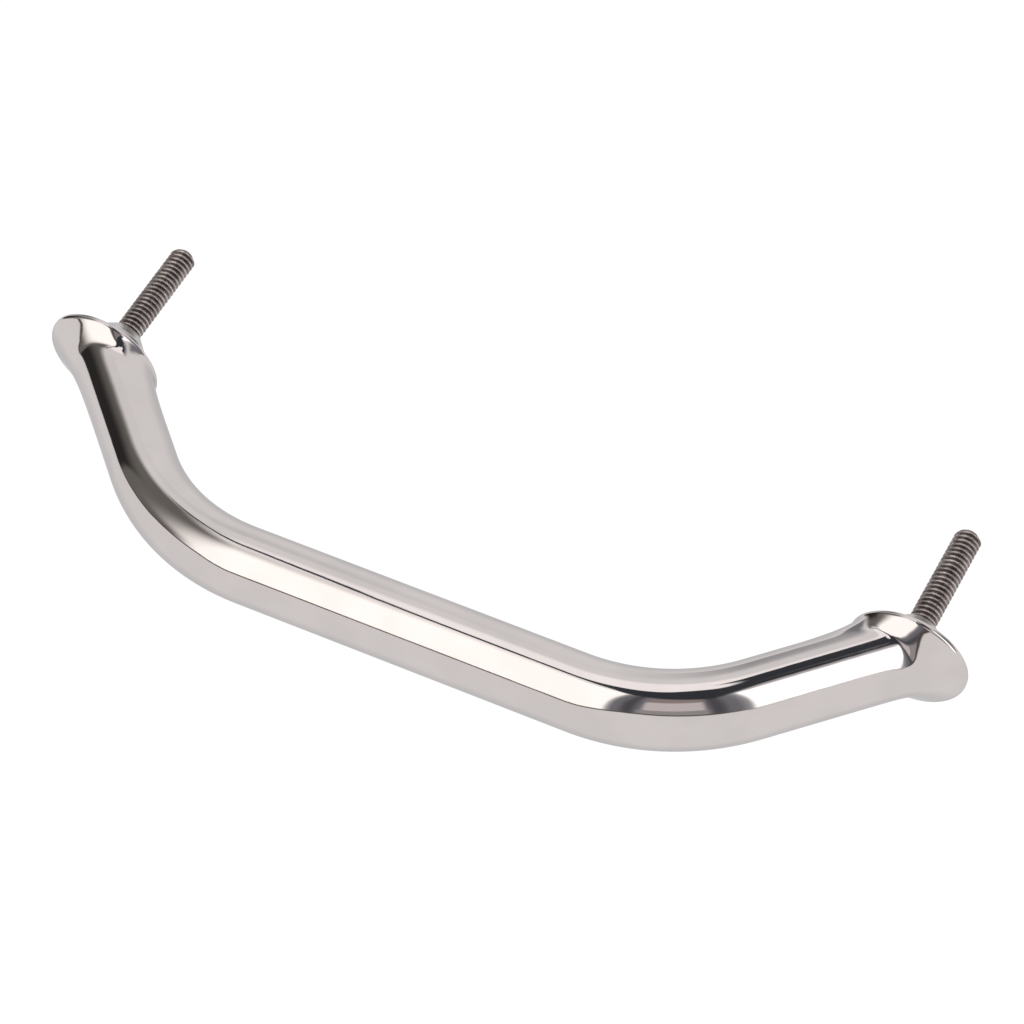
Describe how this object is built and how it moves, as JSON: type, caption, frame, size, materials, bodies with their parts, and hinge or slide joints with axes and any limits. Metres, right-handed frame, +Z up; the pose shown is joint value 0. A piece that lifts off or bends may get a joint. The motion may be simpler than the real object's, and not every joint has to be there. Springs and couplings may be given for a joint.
{
  "type": "grab rail",
  "caption": "Polished stainless grab rail: an oval tube bent into a low bridge, flared round feet and threaded studs for bolting through a panel.",
  "frame": {"origin": "midway between the two studs, on the mounting plane the flanges rest on", "axes": "+X along the rail from the left foot to the right foot, +Y into the wall the way the studs point, +Z up"},
  "size_m": [0.233, 0.0841, 0.0282],
  "materials": {
    "tube": "mirror-polished stainless steel",
    "foot": "mirror-polished stainless steel",
    "tube_weld": "weld metal polished flush",
    "plate": "ground flat, unpolished",
    "bead": "weld bead as laid",
    "boss": "fine turned",
    "stud": "rolled thread, unpolished"
  },
  "bodies": {
    "root": {"rail_tube": "tube", "foot_left": "foot", "foot_right": "foot", "tube_weld_left": "tube_weld", "tube_weld_right": "tube_weld", "base_plate_left": "plate", "base_plate_right": "plate", "plate_weld_left": "bead", "plate_weld_right": "bead", "stud_boss_left": "boss", "stud_boss_right": "boss", "stud_left": "stud", "stud_right": "stud"}
  },
  "joints": []
}
